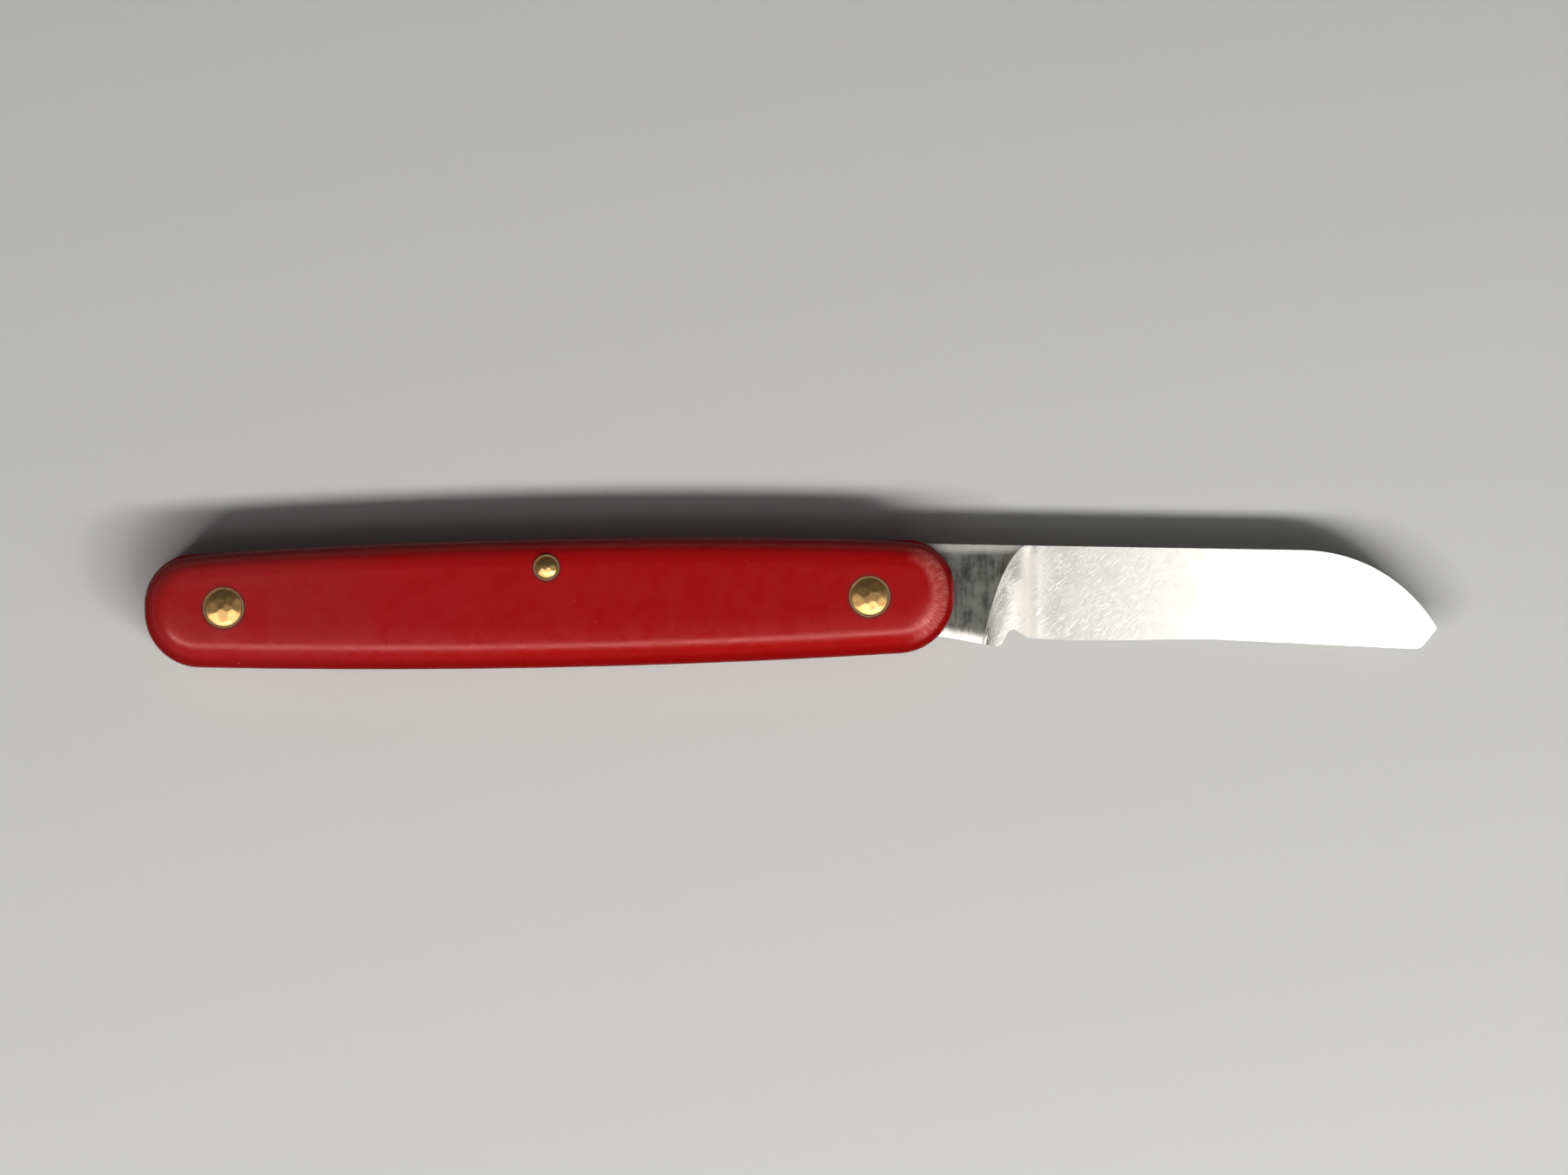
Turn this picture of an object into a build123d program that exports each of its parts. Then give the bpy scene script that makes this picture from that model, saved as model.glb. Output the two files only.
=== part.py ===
"""Folding grafting knife: a single-bevel blade on a slip joint, in a riveted handle with moulded scales.

The knife lies on its rear side with the blade open. +X runs along the handle to the blade's point, +Y from the
cutting edge to the back, and +Z out of the front face. The origin is on the pivot's axis, in the rear scale's
flat face. Sizes are in millimetres, and "drop" is a distance below the pivot's axis, "reach" one ahead of it.
"""

import os
from math import acos, atan, cos, degrees, radians, sin, sqrt, tan

from build123d import *

# ---- driving dimensions ---------------------------------------------------------------------------------------

# Handle, seen from the front
blade_reach = 70.3  # to the blade's point
nose_reach = 10.5  # to the front end of the handle
butt_room = 19.2  # closed blade's point to the rear end of the handle
back_rise = 7.8  # pivot axis up to the crown of the back
back_crown_reach = -35.0
back_radius = 900.0
belly_drop = 8.2  # pivot axis down to the crown of the belly
belly_crown_reach = -45.0
belly_radius = 1050.0
nose_back_radius = 6.0
nose_belly_radius = 7.1
butt_back_radius = 6.2
butt_belly_radius = 6.9

# Layers of the handle
scale_thickness = 3.9
scale_edge_radius = 2.9
liner_thickness = 0.6
liner_inset = 0.1  # the metal stands this far inside the scales' edge
blade_thickness = 1.9
side_clearance = 0.05  # blade to liner, on each side

# Rivets: pins peened into domes, each dome in a cup washer that is sunk in a scale
large_pin_radius = 1.5
large_head_radius = 2.28
small_pin_radius = 0.85
small_head_radius = 1.36
cup_gap = 0.1  # head to the washer's rim
cup_rim = 0.13  # washer's rim, seen as a thin ring
cup_floor = 0.35
cup_clearance = 0.03  # washer to the scale
head_depth = 0.55  # head's foot below the scale's face
head_wall = 0.4  # straight side of the head, below its dome
head_proud = 0.25  # dome's crown above the scale's face
rivet_clearance = 0.02  # pin to the holes of the fixed pieces
pivot_clearance = 0.04  # pin to the blade's bearing hole
butt_rivet_inset = 9.9  # butt end to the rear rivet's axis
butt_rivet_drop = 0.2
spring_rivet_reach = -39.75

# Blade outline, in the open position
spine_sunk = 0.42  # the spine lies below the handle's back where the spring ends
spine_slope = 1.84  # degrees that the spine falls towards the point
point_drop = 5.0
point_run = 16.4  # length of the curved fall from the spine to the point
point_radius = 0.3
toe_back = 2.1  # front end of the edge behind the point
toe_drop = 7.55
toe_radius = 1.5
straight_reach = 43.4  # the edge is straight from the toe back to here
straight_drop = 6.0
worn_front = 36.5  # and honed a little hollow between these two reaches
worn_rear = 28.0
worn_drop = 5.87
heel_reach = 19.6
heel_drop = 5.4
notch_reach = 17.5
notch_drop = 4.05
notch_radius = 0.75
kick_reach = 16.1  # blunt stop between the notch and the tang
kick_drop = 6.48
kick_radius = 0.75
tang_slope = 11.07  # degrees that the tang's lower edge falls towards the kick

# Grind on the front face, full height, from a round wheel
edge_thickness = 0.1
spine_grind = 0.05  # depth of the grind at the spine
grind_margin = 0.2  # the wheel's path starts this far above the spine
wheel_radius = 13.4
plunge_reach = 20.9  # where the wheel reaches full depth

# Nail nick on the rear face
nick_reach = 47.0
nick_length = 10.0
nick_below_spine = 1.9
nick_depth = 0.45
nick_width = 1.3

# Slip joint
cam_rise = 0.83  # the tang's round rear stands out this far beyond its two flats
tang_corner_radius = 0.5
stop_reach = 5.0  # front end of the spring, where the open blade stops
seat_clearance = 0.05  # spring to tang, and to the closed kick
closed_angle = 174.0  # degrees that the blade turns to close
seat_overrun = 2.0  # the sloping seat runs on behind the closed kick
boss_wall = 1.1  # metal round the spring's middle rivet
boss_clearance = 0.08  # closed edge's chord to the boss
boss_fillet = 1.5
bar_above_axis = 0.75  # underside of the springy bar over the middle rivet's axis
bar_run = 9.0  # the bar has reached that height this far ahead of the rivet
block_clearance = 4.0  # closed point to the spring's butt block
block_fillet = 3.5

# ---- derived sizes --------------------------------------------------------------------------------------------

handle_length = blade_reach + nose_reach + butt_room
butt_x = nose_reach - handle_length

slot_width = blade_thickness + 2 * side_clearance
slot_floor = scale_thickness + liner_thickness
slot_top = slot_floor + slot_width
front_liner_top = slot_top + liner_thickness
front_face = front_liner_top + scale_thickness
middle_plane = Plane.XY.offset(front_face / 2)
blade_floor = slot_floor + side_clearance
blade_top = blade_floor + blade_thickness


def turned_closed(x, y):
    """Where a point of the open blade lies once the blade is closed."""
    angle = radians(-closed_angle)
    return (x * cos(angle) - y * sin(angle), x * sin(angle) + y * cos(angle))


def back_height(x):
    """Height of the handle's back over the pivot axis."""
    return back_rise - back_radius + sqrt(back_radius**2 - (x - back_crown_reach) ** 2)


def belly_height(x):
    """Height of the handle's belly, which is negative because it lies below the pivot axis."""
    return belly_radius - belly_drop - sqrt(belly_radius**2 - (x - belly_crown_reach) ** 2)


def handle_outline(inset=0.0):
    """Side view of the handle: a long shallow arc along the back and the belly, and rounded ends."""
    nose_back = (nose_reach, back_height(nose_reach))
    nose_belly = (nose_reach, belly_height(nose_reach))
    butt_back = (butt_x, back_height(butt_x))
    butt_belly = (butt_x, belly_height(butt_x))
    nose_fit = min(1, 0.98 * (nose_back[1] - nose_belly[1]) / (nose_back_radius + nose_belly_radius))
    butt_fit = min(1, 0.98 * (butt_back[1] - butt_belly[1]) / (butt_back_radius + butt_belly_radius))
    corners = [
        (nose_back, nose_back_radius * nose_fit),
        (nose_belly, nose_belly_radius * nose_fit),
        (butt_back, butt_back_radius * butt_fit),
        (butt_belly, butt_belly_radius * butt_fit),
    ]
    with BuildSketch() as outline:
        with BuildLine():
            ThreePointArc(butt_back, (back_crown_reach, back_rise), nose_back)
            Line(nose_back, nose_belly)
            ThreePointArc(nose_belly, (belly_crown_reach, -belly_drop), butt_belly)
            Line(butt_belly, butt_back)
        make_face()
        for corner, radius in corners:
            fillet(outline.vertices().sort_by_distance(corner)[0], radius)
        if inset:
            offset(amount=-inset)
    return outline.sketch


# Blade: the spine, the seats of the tang, and where both lie in the closed position
spine_start = (stop_reach, back_height(stop_reach) - spine_sunk)


def spine_height(x):
    """Height of the straight part of the spine over the pivot axis."""
    return spine_start[1] - (x - stop_reach) * tan(radians(spine_slope))


spine_end = (blade_reach - point_run, spine_height(blade_reach - point_run))
point = (blade_reach, -point_drop)
toe = (blade_reach - toe_back, -toe_drop)
straight_end = (straight_reach, -straight_drop)
heel = (heel_reach, -heel_drop)
notch = (notch_reach, -notch_drop)
kick = (kick_reach, -kick_drop)

# The tang's lower edge passes under the pivot at this distance, and so does the flat on its top
tang_angle = radians(tang_slope)
tang_seat = kick_drop * cos(tang_angle) - kick_reach * sin(tang_angle)
tang_radius = tang_seat + cam_rise
tang_half_flat = sqrt(tang_radius**2 - tang_seat**2)
tang_rear_top = (-tang_half_flat, tang_seat)
tang_rear_bottom = (
    -tang_seat * sin(tang_angle) - tang_half_flat * cos(tang_angle),
    -tang_seat * cos(tang_angle) + tang_half_flat * sin(tang_angle),
)

# Spring: a level seat for the open tang, then a sloping one that the closed tang and kick lie along
level_seat = tang_seat + seat_clearance
seat_slope = tang_angle - radians(180 - closed_angle)
seat_end_x = turned_closed(*kick)[0] - seat_overrun
seat_end_y = (level_seat - seat_end_x * sin(seat_slope)) / cos(seat_slope)

# Rivets. The middle one holds the spring just above the closed edge
closed_heel = turned_closed(*heel)
closed_toe = turned_closed(*toe)
edge_share = (spring_rivet_reach - closed_heel[0]) / (closed_toe[0] - closed_heel[0])
edge_height = closed_heel[1] + edge_share * (closed_toe[1] - closed_heel[1])
small_hole_radius = small_pin_radius + rivet_clearance
large_hole_radius = large_pin_radius + rivet_clearance
boss_radius = small_hole_radius + boss_wall
pivot_axis = (0, 0)
butt_axis = (butt_x + butt_rivet_inset, -butt_rivet_drop)
spring_axis = (spring_rivet_reach, edge_height + boss_clearance + boss_radius)
block_x = -blade_reach - block_clearance
rivets = {
    "pivot": (pivot_axis, large_pin_radius, large_head_radius),
    "butt": (butt_axis, large_pin_radius, large_head_radius),
    "spring": (spring_axis, small_pin_radius, small_head_radius),
}


def side_hole(axis, radius, bottom, top):
    """Round hole across the handle, between two heights."""
    with BuildSketch(Plane.XY.offset(bottom)) as hole:
        with Locations(axis):
            Circle(radius)
    extrude(hole.sketch, amount=top - bottom, mode=Mode.SUBTRACT)


# ---- scales ---------------------------------------------------------------------------------------------------

sink_depth = head_depth + cup_floor

with BuildPart() as front_scale:
    with BuildSketch(Plane.XY.offset(front_liner_top)):
        add(handle_outline())
    extrude(amount=scale_thickness)
    outer_face = front_scale.faces().sort_by(Axis.Z)[-1]
    fillet(outer_face.edges(), scale_edge_radius)
    for axis, pin_radius, head_radius in rivets.values():
        sink_radius = head_radius + cup_gap + cup_rim + cup_clearance
        side_hole(axis, pin_radius + rivet_clearance, front_liner_top, front_face)
        side_hole(axis, sink_radius, front_face - sink_depth, front_face)
front_scale.part.label = "front_scale"

with BuildPart() as rear_scale:
    add(front_scale.part)
    mirror(about=middle_plane, mode=Mode.REPLACE)
rear_scale.part.label = "rear_scale"

# ---- liners ---------------------------------------------------------------------------------------------------

with BuildPart() as front_liner:
    with BuildSketch(Plane.XY.offset(slot_top)):
        add(handle_outline(liner_inset))
    extrude(amount=liner_thickness)
    for axis, pin_radius, head_radius in rivets.values():
        side_hole(axis, pin_radius + rivet_clearance, slot_top, front_liner_top)
front_liner.part.label = "front_liner"

with BuildPart() as rear_liner:
    add(front_liner.part)
    mirror(about=middle_plane, mode=Mode.REPLACE)
rear_liner.part.label = "rear_liner"

# ---- back spring ----------------------------------------------------------------------------------------------

# The bar's underside, from the stop back to the butt block, and the boss and the block below it
clear_of_handle = 2 * (back_rise + belly_drop)
spring_front = stop_reach - seat_clearance
bar_underside = spring_axis[1] + bar_above_axis
boss_half_chord = sqrt(boss_radius**2 - bar_above_axis**2)

with BuildPart() as back_spring:
    with BuildSketch(Plane.XY.offset(slot_floor)) as spring_side:
        with BuildLine():
            Polyline(
                (spring_front, clear_of_handle),
                (spring_front, level_seat),
                (0, level_seat),
                (seat_end_x, seat_end_y),
                (spring_axis[0] + bar_run, bar_underside),
                (block_x, bar_underside),
                (block_x, -clear_of_handle),
                (butt_x - clear_of_handle, -clear_of_handle),
                (butt_x - clear_of_handle, clear_of_handle),
                close=True,
            )
        make_face()
        with Locations(spring_axis):
            Circle(boss_radius)
        for side in (-1, 1):
            boss_root = (spring_axis[0] + side * boss_half_chord, bar_underside)
            fillet(spring_side.vertices().sort_by_distance(boss_root)[0], boss_fillet)
        fillet(spring_side.vertices().sort_by_distance((block_x, bar_underside))[0], block_fillet)
        add(handle_outline(liner_inset), mode=Mode.INTERSECT)
    extrude(amount=slot_width)
    side_hole(spring_axis, small_hole_radius, slot_floor, slot_top)
    side_hole(butt_axis, large_hole_radius, slot_floor, slot_top)
back_spring.part.label = "back_spring"

# ---- blade ----------------------------------------------------------------------------------------------------

grind_length = (spine_height(toe[0]) - toe[1]) * cos(radians(spine_slope))
grind_angle = atan((blade_thickness - spine_grind - edge_thickness) / grind_length)
along_spine = Vector(1, 0, 0).rotate(Axis.Z, -spine_slope)
down_grind = Vector(0, -cos(grind_angle), -sin(grind_angle)).rotate(Axis.Z, -spine_slope)
across_blade = Vector(0, -1, 0).rotate(Axis.Z, -spine_slope)
grind_plane = Plane(
    origin=(0, spine_height(0), blade_top - spine_grind),
    x_dir=along_spine,
    z_dir=down_grind,
)
wheel_height = 2 * blade_thickness
wheel_angle = acos(1 - wheel_height / wheel_radius)
grind_end = blade_reach + point_run

nick_wheel_radius = (nick_length**2 / 4 + nick_depth**2) / (2 * nick_depth)
nick_plane = Plane(
    origin=(nick_reach, spine_height(nick_reach) - nick_below_spine, blade_floor),
    x_dir=along_spine,
    z_dir=across_blade,
)

with BuildPart() as blade:
    with BuildSketch(Plane.XY.offset(blade_floor)) as blade_side:
        with BuildLine():
            Line(spine_start, spine_end)
            TangentArc(spine_end, point, tangent=along_spine)
            Polyline(point, toe, straight_end)
            Spline(straight_end, (worn_front, -worn_drop), (worn_rear, -worn_drop), heel)
            Polyline(heel, notch, kick, tang_rear_bottom)
            ThreePointArc(tang_rear_bottom, (-tang_radius, 0), tang_rear_top)
            Polyline(tang_rear_top, (stop_reach, tang_seat), spine_start)
        make_face()
        corners = [
            (point, point_radius),
            (toe, toe_radius),
            (notch, notch_radius),
            (kick, kick_radius),
            (tang_rear_bottom, tang_corner_radius),
            (tang_rear_top, tang_corner_radius),
        ]
        for corner, radius in corners:
            fillet(blade_side.vertices().sort_by_distance(corner)[0], radius)
    extrude(amount=blade_thickness)
    side_hole(pivot_axis, large_pin_radius + pivot_clearance, blade_floor, blade_top)

    # Grind: the wheel's round entry makes the curved plunge line, and its flat run the bevel
    with BuildSketch(grind_plane.offset(-grind_margin)):
        with BuildLine():
            entry = CenterArc(
                (plunge_reach, wheel_radius),
                wheel_radius,
                270 - degrees(wheel_angle),
                degrees(wheel_angle),
            )
            Polyline(entry @ 1, (grind_end, 0), (grind_end, wheel_height), entry @ 0)
        make_face()
    extrude(amount=2 * grind_length, mode=Mode.SUBTRACT)

    with BuildSketch(nick_plane):
        with Locations((0, nick_depth - nick_wheel_radius)):
            Circle(nick_wheel_radius)
    extrude(amount=nick_width, mode=Mode.SUBTRACT)
blade.part.label = "blade"

# ---- rivets and their cup washers -----------------------------------------------------------------------------


def cup_washer(axis, pin_radius, head_radius):
    """Cup in the front scale: a floor under the rivet's head and a thin rim up to the scale's face."""
    hole = pin_radius + rivet_clearance
    rim_inside = head_radius + cup_gap
    rim_outside = rim_inside + cup_rim
    foot = front_face - sink_depth
    with BuildPart() as washer:
        with BuildSketch(Plane.XZ.offset(-axis[1])):
            with BuildLine():
                Polyline(
                    (axis[0] + hole, foot),
                    (axis[0] + rim_outside, foot),
                    (axis[0] + rim_outside, front_face),
                    (axis[0] + rim_inside, front_face),
                    (axis[0] + rim_inside, foot + cup_floor),
                    (axis[0] + hole, foot + cup_floor),
                    close=True,
                )
            make_face()
        revolve(axis=Axis((axis[0], axis[1], 0), (0, 0, 1)))
    return washer.part


def rivet(axis, pin_radius, head_radius):
    """Pin through the whole handle, with a low dome at each end."""
    head_foot = front_face - head_depth
    dome_foot = head_foot + head_wall
    crown = front_face + head_proud
    dome_radius = (head_radius**2 + (crown - dome_foot) ** 2) / (2 * (crown - dome_foot))
    shoulder_x = head_radius / sqrt(2)
    shoulder_z = crown - dome_radius + sqrt(dome_radius**2 - shoulder_x**2)
    with BuildPart() as pin:
        with BuildSketch(Plane.XZ.offset(-axis[1])):
            with BuildLine():
                ThreePointArc(
                    (axis[0], crown),
                    (axis[0] + shoulder_x, shoulder_z),
                    (axis[0] + head_radius, dome_foot),
                )
                Polyline(
                    (axis[0] + head_radius, dome_foot),
                    (axis[0] + head_radius, head_foot),
                    (axis[0] + pin_radius, head_foot),
                    (axis[0] + pin_radius, front_face / 2),
                    (axis[0], front_face / 2),
                    (axis[0], crown),
                )
            make_face()
        revolve(axis=Axis((axis[0], axis[1], 0), (0, 0, 1)))
        mirror(about=middle_plane)
    return pin.part


rivet_parts = []
for place, (axis, pin_radius, head_radius) in rivets.items():
    with BuildPart() as whole_rivet:
        add(rivet(axis, pin_radius, head_radius))
    whole_rivet.part.label = place + "_rivet"
    with BuildPart() as front_washer:
        add(cup_washer(axis, pin_radius, head_radius))
    front_washer.part.label = place + "_front_washer"
    with BuildPart() as rear_washer:
        add(front_washer.part)
        mirror(about=middle_plane, mode=Mode.REPLACE)
    rear_washer.part.label = place + "_rear_washer"
    rivet_parts += [whole_rivet.part, front_washer.part, rear_washer.part]

# ---- output ---------------------------------------------------------------------------------------------------

os.makedirs("parts", exist_ok=True)
handle_parts = [front_scale.part, rear_scale.part, front_liner.part, rear_liner.part, back_spring.part]
for part in handle_parts + [blade.part] + rivet_parts:
    export_step(part, f"parts/{part.label}.step")
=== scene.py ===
"""Finished look of a folding grafting knife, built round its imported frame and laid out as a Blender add-on.

Sizes are in metres, as the frame's are. MM turns a size given in millimetres into metres.
"""

import math
from collections import Counter

import bpy
from bpy.props import FloatProperty, FloatVectorProperty, IntProperty, PointerProperty
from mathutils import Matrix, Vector


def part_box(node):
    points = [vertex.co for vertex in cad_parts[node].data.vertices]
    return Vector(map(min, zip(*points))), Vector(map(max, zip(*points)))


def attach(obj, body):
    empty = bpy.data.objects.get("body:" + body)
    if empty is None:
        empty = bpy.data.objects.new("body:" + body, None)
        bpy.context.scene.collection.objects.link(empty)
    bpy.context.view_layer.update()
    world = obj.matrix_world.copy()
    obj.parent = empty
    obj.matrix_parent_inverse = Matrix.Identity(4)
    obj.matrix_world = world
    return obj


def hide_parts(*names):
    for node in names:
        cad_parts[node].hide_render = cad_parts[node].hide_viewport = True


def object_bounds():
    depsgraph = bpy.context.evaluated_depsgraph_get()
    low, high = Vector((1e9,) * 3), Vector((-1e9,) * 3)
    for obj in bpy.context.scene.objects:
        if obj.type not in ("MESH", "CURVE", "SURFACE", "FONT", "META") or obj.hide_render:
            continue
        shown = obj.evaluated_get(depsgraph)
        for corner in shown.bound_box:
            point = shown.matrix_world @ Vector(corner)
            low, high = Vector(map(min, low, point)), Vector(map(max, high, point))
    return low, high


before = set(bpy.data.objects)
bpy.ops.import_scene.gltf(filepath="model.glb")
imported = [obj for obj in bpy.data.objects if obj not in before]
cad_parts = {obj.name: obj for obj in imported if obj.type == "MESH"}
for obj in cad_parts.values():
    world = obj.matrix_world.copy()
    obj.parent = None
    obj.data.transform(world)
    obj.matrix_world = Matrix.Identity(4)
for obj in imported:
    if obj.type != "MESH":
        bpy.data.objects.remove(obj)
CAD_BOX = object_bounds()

bl_info = {
    "name": "Grafting Knife",
    "version": (1, 0, 0),
    "blender": (4, 5, 0),
    "location": "3D View > Sidebar > Knife",
    "description": "Builds the finished scales, blade, rivets and stage of a folding grafting knife",
    "category": "Add Mesh",
}

MM = 0.001
MERGE_GAP = 0.001 * MM  # corners of the frame's triangles that are nearer than this are one corner
FLAT_ANGLE = math.radians(0.3)  # faces that meet at less than this are one flat face

LEVEL = 0.9  # a face whose normal rises or falls more than this lies about level
GROUND = 0.999  # one whose normal rises less than this, but more than LEVEL, is ground at a slope
TRUE_FLAT = 0.99999  # one whose normal rises more than this is left flat
BLADE_CREASE = math.radians(6)  # blade faces that meet at more than this keep a sharp line
SKIN = 0.01 * MM  # what is nearer than this to a plane lies on it
BACK_SIDE = 1.5 * MM  # the handle's back lies beyond this, across it
HOLE_REACH = 2 * MM  # edges nearer than this to a rivet's middle belong to its hole

SINK_GAP = 0.02 * MM  # between a washer and the wall of its sink
SINK_LIP = 0.5 * MM  # a sink's cutter stands this far out of the face
SINK_RIM = 0.4  # ring left round a pin's hole, as a share of the sink's radius
WHEEL_BITE = 0.003 * MM  # the wheel cuts this much below the frame's coarser facets
WHEEL_SIDES = 720
SINK_SIDES = 64
HEAD_SIDES = 72
CUP_FLOOR = 0.35 * MM  # washer's floor, which a rivet's head stands on
HEAD_WALL = 0.4 * MM  # straight side of a rivet's head, below its dome
HEAD_RIM = 0.36  # ring left round a pin under its head, as a share of the head's radius
MARK_SPREAD = 0.8  # how far towards a dome's foot the hammer fell, as a share of its lean there
GOLDEN_TURN = 2.399963  # spreads marks evenly over a round head

RIVETS = ("pivot", "butt", "spring")
SIDES = ("front", "rear")
RIVET_CENTRES = {place: sum(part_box(place + "_rivet"), Vector()) / 2 for place in RIVETS}
FRONT_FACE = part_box("front_scale")[1].z
MIDDLE_Z = FRONT_FACE / 2
LARGE_HEAD = (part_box("pivot_rivet")[1].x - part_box("pivot_rivet")[0].x) / 2

# Colours of wear and of lesser tones, and of a painted dark reflection and painted shade on the blade
RIVET_GRIME = (0.02, 0.008, 0.006)
NYLON_SHEEN = (1.0, 0.5, 0.46)
RUDDY_BRASS = (0.74, 0.4, 0.13)
PALE_BRASS = (0.85, 0.72, 0.46)
CLOUDED_STEEL = (0.5, 0.48, 0.42)
PLUNGE_SHADE_STEEL = (0.45, 0.43, 0.38)
HONED_STEEL = (0.95, 0.94, 0.92)
PALE_REFLECTION_STREAK = (0.24, 0.24, 0.215)
BROWN_STAIN = (0.16, 0.105, 0.075)
GROUND_SPRING = (0.62, 0.61, 0.59)
SPRING_SPOT = (0.16, 0.14, 0.12)

LIGHT_HEIGHT = 0.6
WHITE = (1, 1, 1)
LIGHTS = (  # name, place over the floor, width and depth, watts, tint
    ("window_light", (0.1, -0.4), (1.3, 0.14), 5.2, (1.0, 0.99, 0.96)),
    ("blade_light", (0.115, -0.18), (0.09, 0.24), 0.17, WHITE),
    ("nose_light", (0.2, -0.4), (0.4, 0.14), 1.2, WHITE),
    ("nose_glint", (0.44, -0.41), (0.08, 0.08), 1.3, WHITE),
    ("butt_glint", (-0.5, -0.4), (0.08, 0.08), 0.7, WHITE),
    ("butt_light", (-0.3, -0.22), (0.25, 0.2), 0.25, WHITE),
)
SKY_COLOUR = (0.8, 0.82, 0.85)
SKY_STRENGTH = 0.07
SENSOR_WIDTH = 36
CLIP_START, CLIP_END = 0.01, 10
FLOOR_SIZE = 4


# ---- settings ------------------------------------------------------------------------------------


def length(name, description, millimetres):
    """A size that the user may change, shown in scene units and given here in millimetres."""
    size = millimetres * MM
    return FloatProperty(name=name, description=description, default=size, unit="LENGTH", precision=5)


def colour(name, description, value):
    """A linear colour that the user may change."""
    limits = {"min": 0, "max": 1}
    return FloatVectorProperty(name=name, description=description, default=value, subtype="COLOR", **limits)


def angle(name, description, degrees):
    """An angle that the user may change, given here in degrees."""
    turn = math.radians(degrees)
    return FloatProperty(name=name, description=description, default=turn, subtype="ANGLE")


def number(name, description, value, **limits):
    """A whole number that the user may change."""
    return IntProperty(name=name, description=description, default=value, **limits)


class KnifeScaleSettings(bpy.types.PropertyGroup):
    """Section and colour of the moulded scales."""

    side_radius: length("Side radius", "Rounding between the side and the sloping shoulder", 1.0)
    shoulder_run: length("Shoulder width", "Width of the sloping shoulder, seen from the front", 1.0)
    shoulder_slope: angle("Shoulder slope", "Slope of the shoulder", 42)
    ridge_radius: length("Ridge radius", "Rounding between the shoulder and the face", 2.6)
    crown_run: length("Crown width", "Width of the gently rising band inside the ridge", 2.0)
    crown_slope: angle("Crown slope", "Slope at which the face leaves the ridge", 8)
    belly_shift: length("Belly shift", "How much wider the belly's shoulder is than the ends'", 0.6)
    back_softness: number("Back softness", "Smoothing passes over the back's ridge", 16, min=0)
    seam_bevel: length("Seam bevel", "Rounding where a scale meets its liner", 0.12)
    sink_flare: length("Sink flare", "Softened lip round each rivet", 0.12)
    red: colour("Red", "Colour of the moulded nylon", (0.4, 0.004, 0.004))
    # Painted shade: the shoulder and the sides take this darker red in place of the shade that falls on them
    painted_shade_red: colour("Deep red", "Colour of the shoulder, which hands fade less", (0.17, 0.0016, 0.0016))
    faded_red: colour("Faded red", "Colour of the duller, handled nylon at the butt", (0.36, 0.018, 0.022))
    worn_red: colour("Worn red", "Colour of scuffed nylon", (0.75, 0.22, 0.2))


class KnifeBladeSettings(bpy.types.PropertyGroup):
    """Edge breaks and colours of the blade and the spring."""

    wheel_radius: length("Wheel radius", "Radius of the grinding wheel, which shapes the plunge", 13.4)
    spine_break: length("Spine break", "Width of the broken edges along the back of the blade", 0.1)
    steel: colour("Steel", "Colour of the bright ground steel", (0.82, 0.8, 0.75))
    # Painted reflection: this dark colour stands in for the dark surroundings mirrored in the flat beside the
    # handle
    dark_reflection: colour("Patina", "Colour of the darkened flat beside the handle", (0.12, 0.12, 0.105))
    spring_steel: colour("Spring steel", "Colour of the back spring", (0.4, 0.39, 0.375))


class KnifeRivetSettings(bpy.types.PropertyGroup):
    """Shape and colours of the peened rivets and their cup washers."""

    dome_rings: number("Dome rings", "Rings of faces on each dome", 14, min=3, max=32)
    hammer_marks: number("Hammer marks", "Flats on each dome", 9, min=0, max=16)
    mark_depth: length("Mark depth", "How deep a hammer mark cuts into a large dome", 0.03)
    brass: colour("Brass", "Colour of clean brass", (0.86, 0.53, 0.22))
    tarnish: colour("Tarnish", "Colour of tarnished brass", (0.18, 0.115, 0.05))


class KnifeStageSettings(bpy.types.PropertyGroup):
    """Floor, lights and camera."""

    view_width: length("View width", "Width of the camera's view on the knife", 193.1)
    view_x: length("View centre X", "Middle of the view, along the handle", -10.53)
    view_y: length("View centre Y", "Middle of the view, across the handle", 1.28)
    roll: angle("Roll", "How far the handle's front end rises in the view", 0.86)
    lens: FloatProperty(name="Lens", description="Focal length in millimetres", default=180, min=10)
    floor: colour("Floor", "Colour of the floor", (0.62, 0.615, 0.6))


# ---- editing helpers -----------------------------------------------------------------------------


def select_only(piece):
    """Makes one object the only selected and the active one."""
    bpy.ops.object.select_all(action="DESELECT")
    piece.select_set(True)
    bpy.context.view_layer.objects.active = piece


def pick(piece, kind, wanted):
    """Selects the vertices, edges or polygons that pass a test, and leaves the piece in edit mode."""
    bpy.ops.object.mode_set(mode="EDIT")
    bpy.ops.mesh.select_mode(type={"vertices": "VERT", "edges": "EDGE", "polygons": "FACE"}[kind])
    bpy.ops.mesh.select_all(action="DESELECT")
    bpy.ops.object.mode_set(mode="OBJECT")
    picked = [element for element in getattr(piece.data, kind) if wanted(element)]
    for element in picked:
        element.select = True
    bpy.ops.object.mode_set(mode="EDIT")
    return len(picked)


def edge_middle(piece, edge):
    """Middle of an edge."""
    first, second = (piece.data.vertices[index].co for index in edge.vertices)
    return (first + second) / 2


def copy_of_node(node, name):
    """A copy of a frame node's mesh with its triangles merged into clean faces."""
    piece = bpy.data.objects.new(name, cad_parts[node].data.copy())
    bpy.context.collection.objects.link(piece)
    select_only(piece)
    bpy.ops.mesh.customdata_custom_splitnormals_clear()
    bpy.ops.object.mode_set(mode="EDIT")
    bpy.ops.mesh.select_all(action="SELECT")
    bpy.ops.mesh.remove_doubles(threshold=MERGE_GAP)
    bpy.ops.mesh.dissolve_limited(angle_limit=FLAT_ANGLE)
    bpy.ops.object.mode_set(mode="OBJECT")
    piece.data.materials.clear()
    return piece


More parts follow.
